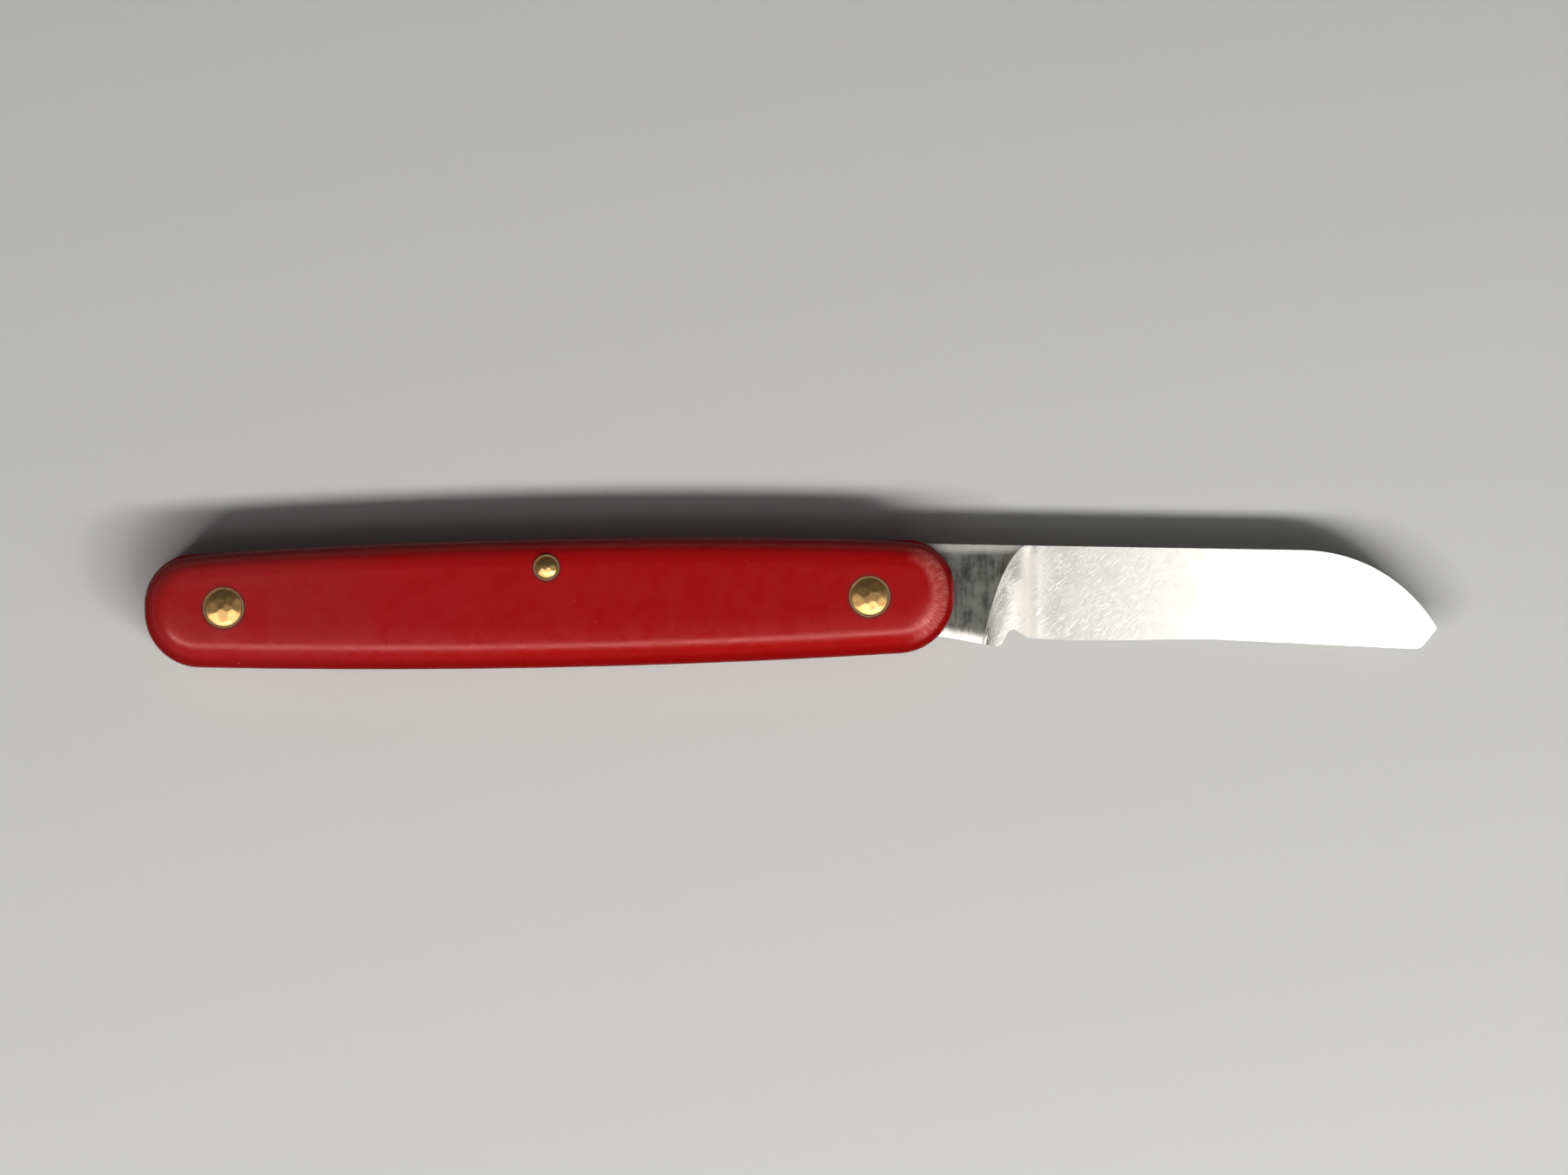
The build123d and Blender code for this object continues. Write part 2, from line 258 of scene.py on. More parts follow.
def apply_modifiers(piece):
    """Makes every modifier's result the piece's own mesh."""
    select_only(piece)
    for modifier in list(piece.modifiers):
        bpy.ops.object.modifier_apply(modifier=modifier.name)


def cut_away(piece, cutter):
    """Cuts a piece with another, which is then removed."""
    cut = piece.modifiers.new("cut", "BOOLEAN")
    cut.operation = "DIFFERENCE"
    cut.object = cutter
    apply_modifiers(piece)
    bpy.data.objects.remove(cutter)


def finish_piece(piece, material, body, slot, *nodes, smooth_angle=30):
    """Smooths a finished piece, gives it its material and body, and hides the nodes it stands for."""
    select_only(piece)
    bpy.ops.object.transform_apply(location=True, rotation=True, scale=True)
    if smooth_angle:
        bpy.ops.object.shade_smooth_by_angle(angle=math.radians(smooth_angle))
    flat_first = piece.modifiers.new("flat_faces_first", "WEIGHTED_NORMAL")
    flat_first.keep_sharp = True
    apply_modifiers(piece)
    piece.data.materials.clear()
    piece.data.materials.append(material)
    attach(piece, body)
    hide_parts(*nodes)


def mirror_to_rear(piece, name):
    """A copy of a front piece, mirrored through the middle of the handle's thickness."""
    select_only(piece)
    bpy.ops.object.duplicate()
    copy = bpy.context.active_object
    copy.name = copy.data.name = name
    bpy.ops.object.mode_set(mode="EDIT")
    bpy.ops.mesh.select_all(action="SELECT")
    bpy.ops.transform.mirror(constraint_axis=(False, False, True), center_override=(0, 0, MIDDLE_Z))
    bpy.ops.mesh.normals_make_consistent(inside=False)
    bpy.ops.object.mode_set(mode="OBJECT")
    return copy


# ---- shader helpers ------------------------------------------------------------------------------


class Shader:
    """Builds a node tree a line at a time: most methods add a node and return the socket it puts out."""

    def __init__(self, tree):
        self.tree = tree

    def feed(self, node, inputs):
        """Sets or links a node's inputs, by name or number."""
        for key, value in dict(inputs).items():
            if isinstance(value, bpy.types.NodeSocket):
                self.tree.links.new(value, node.inputs[key])
            else:
                node.inputs[key].default_value = value

    def node(self, kind, inputs=(), **settings):
        """Adds a node, sets its properties, feeds its inputs, and returns the node itself."""
        node = self.tree.nodes.new(kind)
        for key, value in settings.items():
            setattr(node, key, value)
        self.feed(node, inputs)
        return node

    def math(self, operation, *values, clamp=False):
        """A Math node."""
        inputs = enumerate(values)
        return self.node("ShaderNodeMath", inputs, operation=operation, use_clamp=clamp).outputs[0]

    def product(self, first, *others):
        """Values multiplied together, from the first one on."""
        for other in others:
            first = self.math("MULTIPLY", first, other)
        return first

    def line(self, value, times, plus, clamp=False):
        """A value times one amount, plus another."""
        return self.math("MULTIPLY_ADD", value, times, plus, clamp=clamp)

    def vector(self, operation, *values):
        """A Vector Math node with a vector result."""
        return self.node("ShaderNodeVectorMath", enumerate(values), operation=operation).outputs["Vector"]

    def scaled(self, vector, factor):
        """A vector times a number."""
        inputs = {0: vector, "Scale": factor}
        return self.node("ShaderNodeVectorMath", inputs, operation="SCALE").outputs["Vector"]

    def axes(self, vector):
        """The three parts of a vector."""
        parts = self.node("ShaderNodeSeparateXYZ", {"Vector": vector}).outputs
        return [parts[axis] for axis in "XYZ"]

    def joined(self, x, y, z):
        """A vector made from its three parts."""
        return self.node("ShaderNodeCombineXYZ", {"X": x, "Y": y, "Z": z}).outputs["Vector"]

    def reach_from(self, centre, position):
        """How far a position is, in millimetres, from an upright line through a centre in metres."""
        offset = self.vector("SUBTRACT", position, (centre.x / MM, centre.y / MM, 0.0))
        flat = self.vector("MULTIPLY", offset, (1.0, 1.0, 0.0))
        return self.node("ShaderNodeVectorMath", {0: flat}, operation="LENGTH").outputs["Value"]

    def ramp(self, value, low, high, to_low=0.0, to_high=1.0, smooth=True):
        """Maps one range of a value to another, held at both ends."""
        inputs = {"Value": value, "From Min": low, "From Max": high, "To Min": to_low, "To Max": to_high}
        curve = "SMOOTHSTEP" if smooth else "LINEAR"
        return self.node("ShaderNodeMapRange", inputs, interpolation_type=curve).outputs["Result"]

    def noise(self, vector, scale, detail=2.0, roughness=0.5):
        """A noise from 0 to 1."""
        inputs = {"Vector": vector, "Scale": scale, "Detail": detail, "Roughness": roughness}
        return self.node("ShaderNodeTexNoise", inputs).outputs["Fac"]

    def mix(self, factor, first, second):
        """A mix of two colours."""
        inputs = {"Factor": factor, 6: first, 7: second}
        return self.node("ShaderNodeMix", inputs, data_type="RGBA").outputs[2]

    def group(self, name, **inputs):
        """A shared node group, whose first output is the answer."""
        tree = bpy.data.node_groups[name]
        fed = {key.capitalize(): value for key, value in inputs.items()}
        return self.node("ShaderNodeGroup", fed, node_tree=tree).outputs[0]


def rgba(value):
    """A colour with full alpha."""
    return (*value, 1.0)


def darker(value, share):
    """A darker shade of a colour, with full alpha."""
    return rgba([channel * share for channel in value])


def new_group(name, *numbers):
    """An empty shared node group that turns a position and some numbers into a mask.

    Returns its shader builder, its input sockets by name, and its output node.
    """
    tree = bpy.data.node_groups.new(name, "ShaderNodeTree")
    tree.interface.new_socket("Position", in_out="INPUT", socket_type="NodeSocketVector")
    for number_name in numbers:
        tree.interface.new_socket(number_name, in_out="INPUT", socket_type="NodeSocketFloat")
    tree.interface.new_socket("Mask", in_out="OUTPUT", socket_type="NodeSocketFloat")
    entry = tree.nodes.new("NodeGroupInput")
    leave = tree.nodes.new("NodeGroupOutput")
    return Shader(tree), entry.outputs, leave


def make_scratch_group():
    """Long fine scratches that all run one way, a little wavy. Sizes are in millimetres."""
    shader, entry, leave = new_group("Knife scratches", "Direction", "Length", "Spacing", "Share")
    wander_inputs = {"Vector": entry["Position"], "Scale": 0.3, "Detail": 1.0}
    wander_noise = shader.node("ShaderNodeTexNoise", wander_inputs)
    wander = shader.scaled(wander_noise.outputs["Color"], 1.1)
    bent = shader.vector("ADD", entry["Position"], wander)
    turn_inputs = {"Vector": bent, "Angle": entry["Direction"]}
    turned = shader.node("ShaderNodeVectorRotate", turn_inputs, rotation_type="Z_AXIS").outputs["Vector"]
    cell = shader.joined(entry["Length"], entry["Spacing"], 1.0)
    stretched = shader.vector("DIVIDE", turned, cell)
    streaks = shader.noise(stretched, scale=1.0, detail=1.0)
    threshold = shader.ramp(entry["Share"], 0.0, 1.0, to_low=0.82, to_high=0.42, smooth=False)
    mask = shader.ramp(streaks, threshold, shader.math("ADD", threshold, 0.09))
    shader.feed(leave, {0: mask})


def make_speck_group():
    """Small round specks scattered far apart. Sizes are in millimetres."""
    shader, entry, leave = new_group("Knife specks", "Spacing", "Size", "Share")
    cell_inputs = {"Vector": entry["Position"], "Scale": shader.math("DIVIDE", 1.0, entry["Spacing"])}
    cells = shader.node("ShaderNodeTexVoronoi", cell_inputs)
    reach = shader.product(cells.outputs["Distance"], entry["Spacing"])
    dot = shader.ramp(reach, entry["Size"], shader.product(entry["Size"], 0.5))
    chance = shader.node("ShaderNodeSeparateColor", {"Color": cells.outputs["Color"]}).outputs[0]
    kept = shader.math("LESS_THAN", chance, entry["Share"])
    shader.feed(leave, {0: shader.product(dot, kept)})


def make_patch_group():
    """Cloudy patches with soft borders, such as tarnish, haze or handling wear. Size is in millimetres."""
    shader, entry, leave = new_group("Knife patches", "Size", "Share")
    fineness = shader.math("DIVIDE", 1.0, entry["Size"])
    cloud = shader.noise(entry["Position"], fineness, detail=4.0, roughness=0.6)
    threshold = shader.ramp(entry["Share"], 0.0, 1.0, to_low=0.7, to_high=0.3, smooth=False)
    low = shader.math("SUBTRACT", threshold, 0.12)
    high = shader.math("ADD", threshold, 0.12)
    shader.feed(leave, {0: shader.ramp(cloud, low, high)})


def new_material(name):
    """A new material, with its shader builder, its main shader node and positions in millimetres."""
    material = bpy.data.materials.new(name)
    material.use_nodes = True
    shader = Shader(material.node_tree)
    main = material.node_tree.nodes["Principled BSDF"]
    place = shader.node("ShaderNodeTexCoord").outputs["Object"]
    return material, shader, main, shader.scaled(place, 1 / MM)


def set_bump(shader, main, height, strength, distance_mm, under=None):
    """Feeds a height, times a distance in millimetres, into the normal, over another bump if given."""
    bump_inputs = {"Height": height, "Strength": strength, "Distance": distance_mm * MM}
    bump = shader.node("ShaderNodeBump", bump_inputs)
    if under is not None:
        shader.feed(bump, {"Normal": under})
    shader.feed(main, {"Normal": bump.outputs["Normal"]})


# ---- materials -----------------------------------------------------------------------------------


def nylon_scuffs(shader, along, across, height):
    """Scuffs that fan out across the ridge round the handle's front end. Sizes are in millimetres."""
    face = MIDDLE_Z / MM
    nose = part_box("front_scale")[1].x / MM
    from_nose = shader.math("SUBTRACT", along, nose - 6.0)
    squares = [shader.math("POWER", value, 2.0) for value in (from_nose, across)]
    radius = shader.math("POWER", shader.math("ADD", *squares), 0.5)
    turn = shader.math("ARCTAN2", across, from_nose)
    fan = shader.joined(shader.product(turn, 34.0), shader.product(radius, 0.9), 0.0)
    strokes = shader.ramp(shader.noise(fan, scale=1.0, detail=4.0, roughness=0.7), 0.44, 0.66)
    band_out = shader.ramp(height, face - 1.5, face - 1.0)
    band_in = shader.ramp(height, face - 0.2, face - 0.06, to_low=1.0, to_high=0.0)
    ahead = shader.ramp(along, nose - 6.3, nose - 3.2)
    band = shader.product(band_in, band_out, ahead)
    fanned = shader.product(band, shader.line(strokes, times=0.6, plus=0.16))
    rim = shader.product(shader.ramp(along, nose - 0.5, nose - 0.1), 0.3)
    return shader.math("MAXIMUM", fanned, rim)


def nylon_marks(shader, position):
    """Stray scratches in a few places, and small specks."""
    scratches = [
        shader.group(
            "Knife scratches", position=position, direction=turn, length=long, spacing=wide, share=share
        )
        for turn, long, wide, share in ((0.5, 2.6, 0.16, 0.12), (-0.9, 1.8, 0.12, 0.1))
    ]
    rare = shader.group("Knife patches", position=position, size=7.0, share=0.3)
    stray = shader.product(shader.math("MAXIMUM", *scratches), rare)
    specks = shader.group("Knife specks", position=position, spacing=3.4, size=0.09, share=0.3)
    return shader.math("MAXIMUM", stray, specks)


def rivet_grime(shader, position):
    """Soft rings of grime round the rivets."""
    rings = []
    for place in RIVETS:
        low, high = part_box(place + "_front_washer")
        rim = (high.x - low.x) / 2 / MM
        reach = shader.reach_from(RIVET_CENTRES[place], position)
        rings.append(shader.ramp(reach, rim, rim + 0.55, to_low=0.6, to_high=0.0))
    grime = rings[0]
    for ring in rings[1:]:
        grime = shader.math("MAXIMUM", grime, ring)
    return grime


def make_nylon(settings):
    """Red moulded nylon: satin, hazed near the butt, scuffed round the front end, with stray scratches, and
    painted shade on the shoulder and sides.
    """
    material, shader, main, position = new_material("knife_red_nylon")
    along, across, up = shader.axes(position)
    low, high = (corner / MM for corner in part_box("front_scale"))
    height = shader.math("ABSOLUTE", shader.math("SUBTRACT", up, MIDDLE_Z / MM))
    face = MIDDLE_Z / MM

    haze_end = low.x + 0.55 * (high.x - low.x)
    haze_place = shader.ramp(along, low.x, haze_end, to_low=1.0, to_high=0.0)
    haze_cloud = shader.group("Knife patches", position=position, size=9.0, share=0.62)
    haze = shader.product(haze_place, shader.line(haze_cloud, times=0.5, plus=0.4))
    body = shader.mix(haze, rgba(settings.red), rgba(settings.faded_red))
    mottle = shader.noise(position, scale=1.6, detail=5.0, roughness=0.65)
    body = shader.mix(shader.ramp(mottle, 0.3, 0.8, to_high=0.08), body, darker(settings.red, 0.45))
    grain = shader.noise(position, scale=4.0, detail=4.0, roughness=0.75)
    body = shader.mix(shader.ramp(grain, 0.35, 0.65, to_high=0.14), body, darker(settings.red, 0.55))
    # Painted shade: below the face, the shoulder and the sides darken towards the painted-shade red, fully
    # from 2.2 mm down
    on_face = shader.ramp(height, face - 2.2, face - 0.5)
    body = shader.mix(on_face, shader.mix(0.92, body, rgba(settings.painted_shade_red)), body)

    scuffs = nylon_scuffs(shader, along, across, height)
    pale = shader.math("MAXIMUM", scuffs, shader.product(nylon_marks(shader, position), 0.85))
    grime = rivet_grime(shader, position)
    surface = shader.mix(pale, body, rgba(settings.worn_red))
    surface = shader.mix(grime, surface, rgba(RIVET_GRIME))

    gloss_cloud = shader.noise(position, scale=0.5, detail=4.0)
    gloss = shader.ramp(gloss_cloud, 0.3, 0.7, to_low=0.25, to_high=0.34)
    gloss = shader.line(pale, times=0.08, plus=gloss)
    gloss = shader.line(grime, times=0.3, plus=gloss, clamp=True)
    sheen = shader.ramp(height, face - 1.35, face - 0.95, to_low=0.1, to_high=0.45)
    shader.feed(main, {
        "Base Color": surface,
        "Roughness": gloss,
        "Specular IOR Level": sheen,
        "Specular Tint": rgba(NYLON_SHEEN),
    })

    pores = shader.noise(position, scale=9.0, detail=3.0)
    ripple = shader.noise(position, scale=0.7, detail=2.0)
    relief = shader.line(pale, times=-0.6, plus=shader.line(ripple, times=1.6, plus=pores))
    set_bump(shader, main, relief, strength=0.35, distance_mm=0.02)
    return material


def make_brass(name, settings, centre=None, rim_mm=1.0, tarnish=0.5, clean=None):
    """Brass with tarnish in patches. With a centre, it also gathers towards the rim of a rivet's head."""
    material, shader, main, position = new_material(name)
    spread = shader.group("Knife patches", position=position, size=1.1, share=tarnish)
    patches = shader.product(spread, 0.45)
    if centre is not None:
        reach = shader.reach_from(centre, position)
        rim = shader.ramp(reach, rim_mm * 0.82, rim_mm * 1.02, to_high=0.75)
        patches = shader.math("MAXIMUM", shader.product(patches, 0.67), rim)
    tone_cloud = shader.noise(position, scale=0.9, detail=3.0)
    tone = shader.mix(tone_cloud, rgba(clean or settings.brass), rgba(RUDDY_BRASS))
    fine = shader.group(
        "Knife scratches", position=position, direction=0.7, length=1.2, spacing=0.05, share=0.5
    )
    gloss = shader.line(patches, times=0.25, plus=0.3)
    gloss = shader.line(fine, times=0.08, plus=gloss, clamp=True)
    surface = shader.mix(patches, tone, rgba(settings.tarnish))
    shader.feed(main, {"Base Color": surface, "Roughness": gloss, "Metallic": 1.0})
    dents = shader.noise(position, scale=2.2, detail=3.0)
    set_bump(shader, main, shader.line(fine, times=-0.15, plus=dents), strength=0.3, distance_mm=0.03)
    return material


def make_blade_steel(settings):
    """Ground blade steel: honing scratches on the bevel, a flat with upright polish lines under a painted
    dark reflection, and painted shade beyond the plunge.
    """
    material, shader, main, position = new_material("knife_blade_steel")
    along, across, up = shader.axes(position)
    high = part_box("blade")[1] / MM

    # The grind's plunge line leans back towards the edge
    fall = shader.math("MAXIMUM", shader.math("SUBTRACT", high.y - 0.6, across), 0.0)
    lean = shader.math("MULTIPLY", 1.66, shader.math("POWER", fall, 0.5))
    beyond = shader.math("SUBTRACT", along, shader.math("SUBTRACT", 19.7, lean))
    flat_side = shader.ramp(beyond, -0.12, 0.12, to_low=1.0, to_high=0.0)
    bevel_side = shader.math("SUBTRACT", 1.0, flat_side)

    # Painted dark reflection covers the front of the flat, down to a ragged line above its lower rim, which
    # keeps the bright steel
    front = shader.ramp(up, high.z - 0.35, high.z - 0.2)
    tall = shader.vector("MULTIPLY", position, (3.0, 0.3, 1.0))
    streaks = shader.noise(tall, scale=1.0, detail=4.0, roughness=0.7)
    stains = shader.noise(position, scale=0.5, detail=4.0, roughness=0.6)
    lines = shader.line(stains, times=0.6, plus=shader.product(streaks, 0.4))
    above_rim = shader.math("ADD", across, shader.line(along, times=0.196, plus=3.32))
    dark_low = shader.ramp(shader.line(streaks, times=2.6, plus=above_rim), 1.9, 3.1)
    dark_high = shader.ramp(across, 4.7, 5.9, to_low=1.0, to_high=0.25)
    uneven = shader.ramp(lines, 0.36, 0.62, to_low=1.0, to_high=0.8)
    dark = shader.product(dark_low, dark_high, flat_side, uneven, front)

    honing = [
        shader.group(
            "Knife scratches",
            position=position,
            direction=math.radians(turn),
            length=long,
            spacing=wide,
            share=share,
        )
        for turn, long, wide, share in (
            (-42, 1.7, 0.07, 0.45),
            (-24, 1.3, 0.08, 0.4),
            (36, 1.2, 0.08, 0.36),
            (-70, 1.4, 0.07, 0.38),
        )
    ]
    strong = shader.math("MAXIMUM", *honing[:2])
    weak = shader.math("MAXIMUM", *honing[2:])
    hone = shader.product(shader.line(weak, times=0.6, plus=strong), bevel_side)

    # Haze is thickest near the plunge, and painted shade darkens a band just beyond it, where the wheel's
    # hollow mirrors the lights
    leaving = shader.ramp(beyond, 0.9, 3.4)
    near_plunge = shader.product(leaving, shader.ramp(along, 20.2, 22.8, to_low=1.0, to_high=0.0))
    thinning = shader.ramp(along, 22.0, 44.0, to_low=1.0, to_high=0.25)
    cloud = shader.product(shader.group("Knife patches", position=position, size=3.2, share=0.45), thinning)
    shade_band_rise = shader.ramp(along, 17.6, 19.4)
    plunge_shade_band = shader.product(shade_band_rise, shader.ramp(along, 19.9, 21.2, to_low=1.0, to_high=0.0))
    plunge_shade = shader.line(plunge_shade_band, times=0.75, plus=shader.product(near_plunge, 0.25))

    body = shader.mix(shader.product(cloud, 0.6), rgba(settings.steel), rgba(CLOUDED_STEEL))
    # Painted shade: the band just beyond the plunge is darkened
    body = shader.mix(plunge_shade, body, rgba(PLUNGE_SHADE_STEEL))
    body = shader.mix(shader.math("MULTIPLY", hone, 0.16, clamp=True), body, rgba(HONED_STEEL))
    # Painted reflection: the flat's dark colour, paler along the upright lines
    dark_reflection = shader.mix(shader.ramp(lines, 0.35, 0.65), rgba(settings.dark_reflection), rgba(PALE_REFLECTION_STREAK))
    body = shader.mix(dark, body, dark_reflection)
    stain = shader.product(shader.ramp(beyond, -1.8, -0.1), shader.ramp(across, 2.0, 4.2))
    body = shader.mix(shader.product(stain, shader.product(dark, 0.6)), body, rgba(BROWN_STAIN))

    gloss = shader.line(hone, times=0.1, plus=0.2)
    gloss = shader.line(cloud, times=0.06, plus=gloss)
    gloss = shader.line(near_plunge, times=0.07, plus=gloss)
    gloss = shader.line(dark, times=0.1, plus=gloss)
    bare_flat = shader.product(flat_side, shader.math("SUBTRACT", 1.0, dark))
    gloss = shader.line(bare_flat, times=0.26, plus=gloss, clamp=True)
    shader.feed(main, {"Base Color": body, "Roughness": gloss, "Metallic": 1.0})

    upright = shader.group(
        "Knife scratches",
        position=position,
        direction=math.radians(88),
        length=7.0,
        spacing=0.16,
        share=0.55,
    )
    polish = shader.product(upright, flat_side)
    height = shader.line(polish, times=-0.3, plus=shader.product(hone, -0.35))
    waves = shader.noise(position, scale=0.5, detail=2.0)
    height = shader.line(waves, times=0.45, plus=height)
    roll = shader.math("MAXIMUM", shader.math("SUBTRACT", 1.3, above_rim), 0.0)
    roll = shader.product(shader.math("POWER", roll, 2.0), shader.product(front, -0.09))
    rolled = shader.node("ShaderNodeBump", {"Height": roll, "Strength": 1.0, "Distance": MM})
    set_bump(shader, main, height, strength=0.25, distance_mm=0.006, under=rolled.outputs["Normal"])
    return material


def make_spring_steel(settings):
    """Dull spring steel with lengthwise grinding lines and a few dark handling spots."""
    material, shader, main, position = new_material("knife_spring_steel")
    lines = shader.group(
        "Knife scratches", position=position, direction=0.0, length=9.0, spacing=0.12, share=0.55
    )
    spots = shader.group("Knife patches", position=position, size=1.1, share=0.4)
    body = shader.mix(shader.product(lines, 0.3), rgba(settings.spring_steel), rgba(GROUND_SPRING))
    body = shader.mix(shader.product(spots, 0.3), body, rgba(SPRING_SPOT))
    gloss = shader.line(spots, times=0.2, plus=shader.line(lines, times=0.1, plus=0.3), clamp=True)
    shader.feed(main, {"Base Color": body, "Roughness": gloss, "Metallic": 1.0})
    set_bump(shader, main, lines, strength=0.3, distance_mm=0.015)
    return material


def make_floor(settings):
    """Plain pale matt floor."""
    material, shader, main, _ = new_material("stage_floor")
    shader.feed(main, {"Base Color": rgba(settings.floor), "Roughness": 0.85, "Specular IOR Level": 0.2})
    return material


# ---- scales --------------------------------------------------------------------------------------


def shoulder_steps(settings):
    """The section of a scale's shoulder as small steps, each so far inwards and so far up."""
    steps = []

    def arc(radius, from_angle, to_angle, count):
        for index in range(count):
            start = from_angle + (to_angle - from_angle) * index / count
            stop = from_angle + (to_angle - from_angle) * (index + 1) / count
            inwards = radius * (math.sin(start) - math.sin(stop))
            steps.append((inwards, radius * (math.cos(stop) - math.cos(start))))

    arc(settings.side_radius, math.pi / 2, settings.shoulder_slope, 6)
    run = settings.shoulder_run
    steps += [(run / 3, run / 3 * math.tan(settings.shoulder_slope))] * 3
    arc(settings.ridge_radius, settings.shoulder_slope, settings.crown_slope, 6)
    arc(settings.crown_run / math.sin(settings.crown_slope), settings.crown_slope, 0.0, 4)
    return steps


def make_outline_face(name):
    """The scale's outline as one flat face, taken from the frame node's inner face."""
    piece = copy_of_node("front_scale", name)
    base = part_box("front_scale")[0].z

    def off_base(face):
        return face.normal.z > -LEVEL or face.center.z > base + 10 * SKIN

    pick(piece, "polygons", off_base)
    bpy.ops.mesh.delete(type="FACE")
    bpy.ops.object.mode_set(mode="OBJECT")
    uses = Counter(key for polygon in piece.data.polygons for key in polygon.edge_keys)

    def off_outline(edge):
        middle = edge_middle(piece, edge).xy
        near_rivet = any((middle - centre.xy).length < HOLE_REACH for centre in RIVET_CENTRES.values())
        return near_rivet or uses[edge.key] > 1

    pick(piece, "edges", off_outline)
    bpy.ops.mesh.delete(type="EDGE_FACE")
    bpy.ops.mesh.select_all(action="SELECT")
    bpy.ops.mesh.edge_face_add()
    bpy.ops.object.mode_set(mode="OBJECT")
    if piece.data.polygons[0].normal.z < 0:
        bpy.ops.object.mode_set(mode="EDIT")
        bpy.ops.mesh.flip_normals()
        bpy.ops.object.mode_set(mode="OBJECT")
    return piece


def make_sink_cutter(place, flare):
    """Cutter for a rivet's sink: a flared cup that takes the washer, with the pin's hole below it."""
    washer_low, washer_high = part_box(place + "_front_washer")
    centre = RIVET_CENTRES[place]
    sink_radius = (washer_high.x - washer_low.x) / 2 + SINK_GAP
    depth = washer_high.z - washer_low.z
    bpy.ops.object.select_all(action="DESELECT")
    bpy.ops.mesh.primitive_cylinder_add(
        vertices=SINK_SIDES,
        radius=sink_radius,
        depth=depth,
        location=(centre.x, centre.y, FRONT_FACE - depth / 2),
    )
    cutter = bpy.context.active_object
    bpy.ops.object.transform_apply(location=True, rotation=True, scale=True)
    pick(cutter, "polygons", lambda face: face.normal.z > LEVEL)
    bpy.ops.mesh.extrude_region_move(TRANSFORM_OT_translate={"value": (0, 0, SINK_LIP)})
    spread = (sink_radius + flare + SINK_LIP) / sink_radius
    bpy.ops.transform.resize(value=(spread, spread, 1), center_override=(centre.x, centre.y, FRONT_FACE))
    pick(cutter, "polygons", lambda face: face.normal.z < -LEVEL)
    bpy.ops.mesh.inset(thickness=sink_radius * SINK_RIM)
    bpy.ops.mesh.extrude_region_move(TRANSFORM_OT_translate={"value": (0, 0, -FRONT_FACE / 2)})
    bpy.ops.object.mode_set(mode="OBJECT")
    return cutter


class KNIFE_OT_scales(bpy.types.Operator):
    """Builds both moulded scales, with a sloping shoulder, a soft ridge, a low crown and rivet sinks"""

    bl_idname = "knife.scales"
    bl_label = "Scales"

    def execute(self, context):
        settings = context.scene.knife_scales
        material = make_nylon(settings)
        front = make_outline_face("front_scale_moulding")
        low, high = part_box("front_scale")
        steps = shoulder_steps(settings)
        wall = high.z - low.z - sum(rise for run, rise in steps)
        bpy.ops.object.mode_set(mode="EDIT")
        bpy.ops.mesh.select_all(action="SELECT")
        bpy.ops.mesh.extrude_region_move(TRANSFORM_OT_translate={"value": (0, 0, wall)})
        shoulder = sum(run for run, rise in steps) - settings.crown_run
        for run, rise in steps:
            bpy.ops.mesh.inset(thickness=run, depth=rise)
            bpy.ops.transform.translate(value=(0, settings.belly_shift * min(run / shoulder, 1), 0))
        bpy.ops.mesh.select_all(action="SELECT")
        bpy.ops.mesh.normals_make_consistent(inside=False)
        shoulder_foot = low.z + wall + SKIN
        pick(front, "vertices", lambda vertex: vertex.co.z > shoulder_foot and vertex.co.y > BACK_SIDE)
        bpy.ops.mesh.vertices_smooth(factor=0.5, repeat=settings.back_softness)
        base_z = low.z + SKIN
        pick(front, "polygons", lambda face: face.normal.z < -LEVEL and face.center.z < base_z)
        bpy.ops.mesh.region_to_loop()
        bpy.ops.mesh.bevel(offset=settings.seam_bevel, segments=2)
        bpy.ops.object.mode_set(mode="OBJECT")
        for place in RIVETS:
            cut_away(front, make_sink_cutter(place, settings.sink_flare))
        rear = mirror_to_rear(front, "rear_scale_moulding")
        finish_piece(front, material, "handle", "red_nylon", "front_scale")
        finish_piece(rear, material, "handle", "red_nylon", "rear_scale")
        return {"FINISHED"}


# ---- liners and spring ---------------------------------------------------------------------------


def dress_node(node, material):
    """Gives a frame node that keeps its shape a better material."""
    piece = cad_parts[node]
    for slot in piece.material_slots:
        slot.material = material


class KNIFE_OT_liners(bpy.types.Operator):
    """Gives the two brass liners their dulled sheet brass"""

    bl_idname = "knife.liners"
    bl_label = "Liners"

    def execute(self, context):
        material = make_brass("knife_liner_brass", context.scene.knife_rivets, tarnish=0.42)
        for side in SIDES:
            dress_node(side + "_liner", material)
        return {"FINISHED"}


class KNIFE_OT_spring(bpy.types.Operator):
    """Gives the back spring its dull steel with lengthwise grinding lines"""

    bl_idname = "knife.spring"
    bl_label = "Back spring"

    def execute(self, context):
        dress_node("back_spring", make_spring_steel(context.scene.knife_blade))
        return {"FINISHED"}


# ---- blade ---------------------------------------------------------------------------------------


def make_grinding_wheel(blade, radius):
    """Cutter for the plunge: a wheel that lies on the bevel and rises out of it towards the handle."""
    tilted = [face for face in blade.data.polygons if LEVEL < face.normal.z < GROUND]
    bevel = max(tilted, key=lambda face: face.area)
    up = bevel.normal.copy()
    along = Vector((0, 1, 0)).cross(up).normalized()
    corners = (blade.data.vertices[index].co for index in bevel.vertices)
    start = min(corners, key=lambda point: point.dot(along))
    centre = start + up * (radius - WHEEL_BITE)
    bpy.ops.object.select_all(action="DESELECT")
    bpy.ops.mesh.primitive_cylinder_add(
        vertices=WHEEL_SIDES,
        radius=radius,
        depth=4 * radius,
        location=centre,
        rotation=along.cross(up).to_track_quat("Z", "Y").to_euler(),
    )
    return bpy.context.active_object


